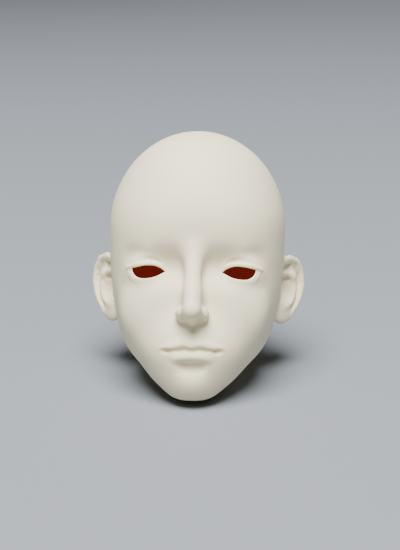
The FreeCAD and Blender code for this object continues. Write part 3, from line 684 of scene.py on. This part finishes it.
def seamColumn(name, inset, low, high, form=skullDistance):
    # a closed column on the seam's outline, between two levels
    bm = bmesh.new()
    bmesh.ops.create_circle(bm, segments=seam["steps"], radius=1, cap_ends=True)
    for k, v in enumerate(list(bm.verts)):
        spot = seamPoint(2 * math.pi * k / seam["steps"], inset, form)
        v.co = (spot.x, spot.y, low)
    made = bmesh.ops.extrude_face_region(bm, geom=list(bm.faces))["geom"]
    upper = [v for v in made if isinstance(v, bmesh.types.BMVert)]
    bmesh.ops.translate(bm, verts=upper, vec=(0, 0, high - low))
    return meshObject(name, bm, toSeam)


def hollowDistance(p):
    return skullDistance(p) + skull["wall"]


def shapedHollow():
    bm, verts = castBall(hollowDistance, skull["hollowMesh"])
    relax(bm, verts, hollowDistance, 2)
    return meshObject("hollow", bm)


def magnetPosts(kind, radius, low, high):
    posts = []
    for angle in magnet["angles"]:
        spot = seamPoint(math.radians(angle), skull["wall"] + magnet["diameter"] / 4)
        place = toSeam @ Matrix.Translation((spot.x, spot.y, 0))
        posts.append(post(kind, radius, low, high, place))
    return posts


def skinWithEars():
    bm = shapedHead()
    for side in (1, -1):
        openEye(bm, side)
    head = meshObject("headShell", bm)
    print("head skin:", len(head.data.polygons), "faces")
    for side in (1, -1):
        cut(head, [shapedEar(side)], "UNION")
        cut(head, [hollowTool(side, name) for name in ear["hollows"]])
        blendEar(head.data, side)
    print("ears joined:", len(head.data.polygons), "faces")
    return head


def skullHollow(boss):
    # the hollow, less the magnets' bosses, the walls of the eye wells and the neck's floor
    hollow = shapedHollow()
    kept = magnetPosts("boss", boss, -magnet["bossLength"], magnet["bossLength"])
    x, y, z = eye["middle"]
    for side in (1, -1):
        place = Matrix.Translation((side * x, y + eye["cupWall"], z)) @ Matrix.Rotation(math.pi / 2, 4, "X")
        radius = eye["wellRadius"] + eye["cupWall"]
        kept.append(post("cup", radius, 0, eye["wellRadius"] + 2 * eye["cupWall"], place))
    level = socket["floor"]
    kept.append(halfSpace("belowFloor", cutter["along"], level - cutter["depth"], level, toFace))
    return cut(hollow, kept)


def openNeck(head):
    # the rim's level, the cup for the body's ball, the slot through the floor and the bar's groove
    bm = bmesh.new()
    bmesh.ops.create_uvsphere(bm, u_segments=96, v_segments=64, radius=socket["cupRadius"])
    ballCup = meshObject("ballCup", bm, toFace @ Matrix.Translation((0, 0, -socket["cupDrop"])))
    slotX, slotY = socket["slot"]
    slotHigh = socket["floor"] + overrun
    slot = block("slot", (slotX, slotY, slotHigh), (0, 0, slotHigh / 2), toFace)
    acrossFloor = Matrix.Translation((0, 0, socket["floor"])) @ Matrix.Rotation(math.pi / 2, 4, "Y")
    half = socket["barLength"] / 2 + socket["clearance"]
    radius = socket["barDiameter"] / 2 + socket["clearance"]
    groove = post("groove", radius, -half, half, toFace @ acrossFloor)
    below = halfSpace("below", cutter["along"], -cutter["rimDepth"], 0, toFace)
    cut(head, [below, ballCup, slot, groove])


def castings():
    head = skinWithEars()
    pocket = magnet["diameter"] / 2 + magnet["clearance"]
    boss = pocket + magnet["bossWall"]
    hollow = skullHollow(boss)
    openNeck(head)

    # the head is parted at the seam's plane
    behind = halfSpace("behind", cutter["seamAlong"], 0, cutter["depth"], toSeam)
    before = halfSpace("before", cutter["seamAlong"], -cutter["depth"], 0, toSeam)
    cap = duplicate(head, "headCap")
    cut(cap, [before, duplicate(hollow, "hollowBack")])
    cut(head, [behind, hollow])

    # the cap's lip goes into the shell's rebate, and a magnet sits in each half at four places
    inset, wall, lipEnd = seam["lipSetIn"], seam["lipWall"], -seam["lip"]
    seat = magnet["thickness"] + magnet["clearance"]
    rebateEnd = lipEnd - seam["clearance"]
    cut(head, [seamColumn("rebate", inset - seam["clearance"], rebateEnd, overrun)])
    cut(head, magnetPosts("pocket", pocket, rebateEnd - seat, overrun))
    lip = seamColumn("lip", inset, lipEnd, wall)
    cut(lip, [seamColumn("lipInside", inset + wall, lipEnd - overrun, overrun * 2)])
    cut(cap, [lip], "UNION")
    stubs = magnetPosts("stub", boss, lipEnd, magnet["bossWall"])
    for stub in stubs:
        cut(stub, [seamColumn("lipSpace", inset, lipEnd, magnet["bossWall"])], "INTERSECT")
    cut(cap, stubs, "UNION")
    cut(cap, magnetPosts("pocket", pocket, lipEnd - overrun, lipEnd + seat))

    # a fine groove shows the seam on the skin
    depth = seam["line"]
    line = seamColumn("seamLine", -overrun, -depth, depth, faceDistance)
    cut(line, [seamColumn("lineInside", depth, -overrun, overrun, faceDistance)])
    cut(cap, [duplicate(line, "capLine")])
    cut(head, [line])
    return head, cap


headShell, headCap = castings()
print("castings:", len(headShell.data.polygons), "and", len(headCap.data.polygons), "faces")


def finished(piece, sharp):
    # splits the large faces that the cuts leave, and brings the piece to the model's frame
    bm = bmesh.new()
    bm.from_mesh(piece.data)
    bmesh.ops.triangulate(bm, faces=[f for f in bm.faces if len(f.verts) > 4])
    bm.to_mesh(piece.data)
    bm.free()
    piece.data.transform(toModel)
    piece.data.shade_smooth()
    piece.data.set_sharp_from_angle(angle=math.radians(sharp))
    piece.data.update()


for piece in (headShell, headCap):
    finished(piece, 38)


class Link:
    # a socket in a material, for shader maths written as Python
    def __init__(self, finish, socket):
        self.finish = finish
        self.socket = socket

    def maths(self, operation, first, second):
        return self.finish.node("ShaderNodeMath", {"operation": operation}, {0: first, 1: second})

    def __add__(self, other): return self.maths("ADD", self, other)
    def __radd__(self, other): return self.maths("ADD", other, self)
    def __sub__(self, other): return self.maths("SUBTRACT", self, other)
    def __rsub__(self, other): return self.maths("SUBTRACT", other, self)
    def __mul__(self, other): return self.maths("MULTIPLY", self, other)
    def __rmul__(self, other): return self.maths("MULTIPLY", other, self)
    def __truediv__(self, other): return self.maths("DIVIDE", self, other)
    def __rtruediv__(self, other): return self.maths("DIVIDE", other, self)
    def __pow__(self, other): return self.maths("POWER", self, other)
    def __rpow__(self, other): return self.maths("POWER", other, self)


class Finish:
    # a material and the one way to add a node to it
    def __init__(self, name):
        self.material = bpy.data.materials.new(name)
        self.material.use_nodes = True
        self.tree = self.material.node_tree
        self.tree.nodes.clear()

    def node(self, kind, settings=None, inputs=None, output=0):
        made = self.tree.nodes.new(kind)
        for key, value in (settings or {}).items():
            if key == "stops":
                ramp = made.color_ramp
                while len(ramp.elements) < len(value):
                    ramp.elements.new(0.5)
                for element, (place, colour) in zip(ramp.elements, value):
                    element.position = place
                    element.color = colour
            else:
                setattr(made, key, value)
        for key, value in (inputs or {}).items():
            if isinstance(value, Link):
                self.tree.links.new(value.socket, made.inputs[key])
            else:
                made.inputs[key].default_value = value
        return Link(self, made.outputs[output])

    def noise(self, place, scale, detail):
        inputs = {"Vector": place, "Scale": scale, "Detail": detail}
        return self.node("ShaderNodeTexNoise", None, inputs, "Fac")

    def blend(self, factor, first, second):
        return self.node("ShaderNodeMix", {"data_type": "RGBA"}, {0: factor, 6: first, 7: second}, 2)

    def surface(self, inputs):
        shader = self.node("ShaderNodeBsdfPrincipled", None, inputs)
        end = self.tree.nodes.new("ShaderNodeOutputMaterial")
        self.tree.links.new(shader.socket, end.inputs["Surface"])
        return self.material


# The warm colour is painted shade: a darker yellow laid into the skin's hollows.
resin = {"ivory": (0.87, 0.79, 0.55, 1), "light": (0.89, 0.81, 0.57, 1), "hollowShadeColour": (0.76, 0.63, 0.34, 1),
         "roughness": 0.56, "cloudSize": 60.0, "grainSize": 4200.0, "grainDepth": 0.00004}
# The inside's dark red colours and faint emission are a painted glow of the light that passes through the
# resin.
insideGlowPaint = {"dark": (0.16, 0.018, 0.004, 1), "light": (0.20, 0.024, 0.006, 1), "roughness": 0.7,
              "paintedGlow": (0.105, 0.0085, 0.0015, 1), "cloudSize": 90.0}


def resinFinish():
    finish = Finish("ivoryResin")
    place = finish.node("ShaderNodeTexCoord", None, None, "Object")
    cloud = finish.noise(place, resin["cloudSize"], 3.0)
    grain = finish.noise(place, resin["grainSize"], 2.0)
    hollowness = finish.node("ShaderNodeAttribute", {"attribute_name": "hollowness"}, None, "Fac")
    # the cloudy ivory turns to a painted darker yellow shade in the skin's hollows
    tint = finish.blend(hollowness, finish.blend(cloud * 0.25, resin["ivory"], resin["light"]), resin["hollowShadeColour"])
    bump = finish.node("ShaderNodeBump", None, {"Strength": 0.06, "Distance": resin["grainDepth"],
                                                "Height": grain})
    return finish.surface({
        "Base Color": tint, "Roughness": resin["roughness"] + (cloud - 0.5) * 0.12, "Normal": bump,
        "Subsurface Weight": 0.35, "Subsurface Radius": (1.0, 0.75, 0.5), "Subsurface Scale": 0.0015,
        "Specular IOR Level": 0.28,
    })


def paintedGlowFinish():
    # painted glow: a dark red colour and a faint emission stand in for the light that passes through the
    # resin
    finish = Finish("paintedInsideGlow")
    place = finish.node("ShaderNodeTexCoord", None, None, "Object")
    cloud = finish.noise(place, insideGlowPaint["cloudSize"], 3.0)
    tint = finish.blend(cloud, insideGlowPaint["dark"], insideGlowPaint["light"])
    return finish.surface({"Base Color": tint, "Roughness": insideGlowPaint["roughness"] + (cloud - 0.5) * 0.1,
                           "Emission Color": insideGlowPaint["paintedGlow"], "Emission Strength": 1.0})


def readColumns(items, key, width, kind=float):
    # a row of values for each point, edge or face
    values = np.empty(len(items) * width, kind)
    items.foreach_get(key, values)
    return values.reshape(-1, width)


# How far the bend of the skin is evened out, and the bends (per millimetre) at which the painted darker
#  yellow shade of the hollows starts and is full.
hollowShading = {"rounds": 6, "evening": 0.6, "start": 0.12, "span": 0.9}


def markHollowShade(piece):
    # how deep each point lies in a hollow of the skin, for the darker yellow shade painted there
    mesh = piece.data
    count = len(mesh.vertices)
    places = readColumns(mesh.vertices, "co", 3)
    normals = readColumns(mesh.vertices, "normal", 3)
    a, b = readColumns(mesh.edges, "vertices", 2, int).T
    run = places[b] - places[a]
    length = np.linalg.norm(run, axis=1) + 1e-9
    bend = ((normals[b] - normals[a]) * run).sum(1) / length ** 2
    total = np.bincount(a, bend, count) + np.bincount(b, bend, count)
    share = np.maximum(np.bincount(a, minlength=count) + np.bincount(b, minlength=count), 1)
    curve = -total / share * millimetre
    for _ in range(hollowShading["rounds"]):
        around = (np.bincount(a, curve[b], count) + np.bincount(b, curve[a], count)) / share
        curve += hollowShading["evening"] * (around - curve)
    hollowness = np.clip((curve - hollowShading["start"]) / hollowShading["span"], 0, 1)
    layer = mesh.attributes.new("hollowness", "FLOAT", "POINT")
    layer.data.foreach_set("value", hollowness.astype(np.float32))


# How deep below the skin the inside's painted red glow starts, in the hollow and in the wells, and how far
#  off the hollow's wall, the wells' wall and the neck's floor a face may lie and still take it.
glowPainting = {"skinHollow": 0.8, "skinWell": 0.5, "wall": 0.3, "well": 0.15, "floor": 0.2}


def moved(places, matrix):
    return places @ np.array(matrix.to_3x3()).T + np.array(matrix.translation)


def paintGlowInside(piece):
    # faces of the hollow and the wells get the inside's painted red glow of light through the resin
    mesh = piece.data
    centres = moved(readColumns(mesh.polygons, "center", 3), toModel.inverted())
    skin = faceDistance(centres)
    deep = skullDistance(centres) < -skull["wall"] + glowPainting["wall"]
    sided = np.column_stack([np.abs(centres[:, 0]), centres[:, 1:]])
    away = np.linalg.norm(sided - np.array(eye["middle"]), axis=1)
    well = away < eye["wellRadius"] + glowPainting["well"]
    above = moved(centres, toNeck)[:, 2] > socket["floor"] - glowPainting["floor"]
    inner = (deep & (skin < -glowPainting["skinHollow"])) | (well & (skin < -glowPainting["skinWell"]))
    mesh.polygons.foreach_set("material_index", (inner & above).astype(np.int32))


ivory = resinFinish()
paintedInsideGlow = paintedGlowFinish()
for piece, body, node in ((headShell, "head", "head_shell"), (headCap, "cap", "head_cap")):
    markHollowShade(piece)
    piece.data.materials.clear()
    piece.data.materials.append(ivory)
    piece.data.materials.append(paintedInsideGlow)
    paintGlowInside(piece)
    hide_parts(node)
    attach(piece, body)
print("castings finished")


metals = {"barSteel": ((0.55, 0.55, 0.56, 1), 0.34), "hookWire": ((0.62, 0.62, 0.63, 1), 0.24),
          "nickelPlate": ((0.72, 0.69, 0.64, 1), 0.18)}


def metalFinish(name, colour, roughness):
    finish = Finish(name)
    place = finish.node("ShaderNodeTexCoord", None, None, "Object")
    cloud = finish.noise(place, 900.0, 4.0)
    bump = finish.node("ShaderNodeBump", None, {"Strength": 0.1, "Distance": 0.00002, "Height": cloud})
    return finish.surface({"Base Color": colour, "Metallic": 1.0,
                           "Roughness": roughness + (cloud - 0.5) * 0.2, "Normal": bump})


barSteel, hookWire, nickel = [metalFinish(name, *look) for name, look in metals.items()]
for name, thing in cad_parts.items():
    if name in ("head_shell", "head_cap", "s_hook"):
        continue
    metal = barSteel if name == "hook_bar" else nickel
    for spot in thing.material_slots:
        spot.material = metal


# The S-hook: round wire in two open loops that meet at a tangent, hung by its own weight.
hook = {"wire": 2.4, "upper": 3.0, "lower": 3.6, "upperSweep": 265, "lowerSweep": 250, "around": 24,
        "along": 64}


def arcMoment(radius, start, sweep, centre):
    # length times middle of an arc, along Y and Z
    a = math.radians(start)
    b = math.radians(start + sweep)
    return np.array((radius ** 2 * (math.sin(b) - math.sin(a)),
                     radius ** 2 * (math.cos(a) - math.cos(b)) + centre * radius * (b - a)))


def roundedEnd(bm, edges, away, radius, steps=4):
    # draws the end of a wire in to a half round, and closes it
    place = sum((v.co for e in edges for v in e.verts), Vector()) / (2 * len(edges))
    for k in range(1, steps + 1):
        a = math.pi / 2 * k / (steps + 0.5)
        before = math.cos(math.pi / 2 * (k - 1) / (steps + 0.5))
        made = bmesh.ops.extrude_edge_only(bm, edges=edges)["geom"]
        verts = [v for v in made if isinstance(v, bmesh.types.BMVert)]
        edges = [e for e in made if isinstance(e, bmesh.types.BMEdge) and e.is_boundary]
        middle = sum((v.co for v in verts), Vector()) / len(verts)
        target = place + away * radius * math.sin(a)
        for v in verts:
            v.co = target + (v.co - middle) * math.cos(a) / before
    bmesh.ops.edgeloop_fill(bm, edges=edges)


def sHook():
    bm = bmesh.new()
    radius = hook["wire"] / 2
    drop = hook["upper"] + hook["lower"]
    meet = Vector((0, 0, -hook["upper"]))
    verts = bmesh.ops.create_circle(bm, segments=hook["around"], radius=radius)["verts"]
    bmesh.ops.rotate(bm, verts=verts, matrix=Matrix.Rotation(math.pi / 2, 3, "X"), cent=(0, 0, 0))
    bmesh.ops.translate(bm, verts=verts, vec=meet)
    first = list(bm.edges)
    for centre, sweep, way in ((0, hook["upperSweep"], 1), (-drop, hook["lowerSweep"], -1)):
        turned = bmesh.ops.spin(bm, geom=first, cent=(0, 0, centre), axis=(1, 0, 0),
                                angle=math.radians(sweep), steps=hook["along"],
                                use_duplicate=False)["geom_last"]
        last = [e for e in turned if isinstance(e, bmesh.types.BMEdge)]
        away = Matrix.Rotation(math.radians(sweep), 3, "X") @ Vector((0, way, 0))
        roundedEnd(bm, last, away, radius)
    moment = (arcMoment(hook["upper"], -90, hook["upperSweep"], 0)
              + arcMoment(hook["lower"], 90, hook["lowerSweep"], -drop))
    hang = math.atan2(moment[0], -moment[1])
    place = Matrix.Scale(millimetre, 4) @ Matrix.Translation((0, 0, socket["floor"]))
    made = meshObject("sHook", bm, place @ Matrix.Rotation(-hang, 4, "X"))
    made.data.shade_smooth()
    made.data.materials.append(hookWire)
    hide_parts("s_hook")
    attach(made, "hook")
    print("hook:", len(made.data.polygons), "faces, hangs at", round(math.degrees(-hang), 2), "degrees")


sHook()


# Floor, light and camera.
room = {"floorSize": 14.0, "floorColour": (0.22, 0.235, 0.26, 1), "worldColour": (0.92, 0.90, 0.87, 1),
        "worldStrength": 0.03}
# A place in metres from the middle of the head, in the face's frame, a width and a power each.
lights = {"keyLight": ((-0.1, -1.55, 2.1), 1.9, 240.0), "backLight": ((0.6, 2.2, 0.9), 1.6, 3.0)}


def stageFloor():
    bm = bmesh.new()
    bmesh.ops.create_grid(bm, x_segments=1, y_segments=1, size=room["floorSize"] / 2)
    mesh = bpy.data.meshes.new("floor")
    bm.to_mesh(mesh)
    bm.free()
    floor = bpy.data.objects.new("floor", mesh)
    bpy.context.scene.collection.objects.link(floor)
    finish = Finish("paleFloor")
    floor.data.materials.append(finish.surface({"Base Color": room["floorColour"], "Roughness": 0.8}))


def softLight(name, place, size, power):
    # a round soft light that faces the middle of the head
    data = bpy.data.lights.new(name, "AREA")
    data.shape = "DISK"
    data.size = size
    data.energy = power
    made = bpy.data.objects.new(name, data)
    bpy.context.scene.collection.objects.link(made)
    away = toModel.to_3x3().normalized() @ Vector(place)
    made.location = toModel @ Vector(skull["middle"]) + away
    made.rotation_euler = away.to_track_quat("Z", "Y").to_euler()


stageFloor()
for name, light in lights.items():
    softLight(name, *light)
world = bpy.data.worlds.new("room")
world.use_nodes = True
background = world.node_tree.nodes["Background"]
background.inputs["Color"].default_value = room["worldColour"]
background.inputs["Strength"].default_value = room["worldStrength"]
bpy.context.scene.world = world

# The camera, in the face's frame: degrees, and millimetres but for the lens and sensor.
view = {"turn": 2.0, "distance": 520.0, "target": (1.76, -20.0, 43.3), "lens": 137.0, "sensor": 36.0,
        "roll": 0.9, "clipStart": 0.01}


def placeCamera():
    turn = math.radians(view["turn"])
    target = Vector(view["target"])
    away = Vector((math.sin(turn), -math.cos(turn), 0))
    spot = target + away * view["distance"]
    right = Vector((math.cos(turn), math.sin(turn), 0))
    up = Vector((0, 0, 1))
    roll = math.radians(view["roll"])
    columns = (right * math.cos(roll) + up * math.sin(roll),
               up * math.cos(roll) - right * math.sin(roll), away)
    turned = Matrix.Identity(3)
    for k, column in enumerate(columns):
        turned.col[k] = toModel.to_3x3().normalized() @ column
    data = bpy.data.cameras.new("camera")
    data.sensor_fit = "HORIZONTAL"
    data.sensor_width = view["sensor"]
    data.lens = view["lens"]
    data.clip_start = view["clipStart"]
    camera = bpy.data.objects.new("camera", data)
    bpy.context.scene.collection.objects.link(camera)
    camera.matrix_world = Matrix.Translation(toModel @ spot) @ turned.to_4x4()
    bpy.context.scene.camera = camera


placeCamera()
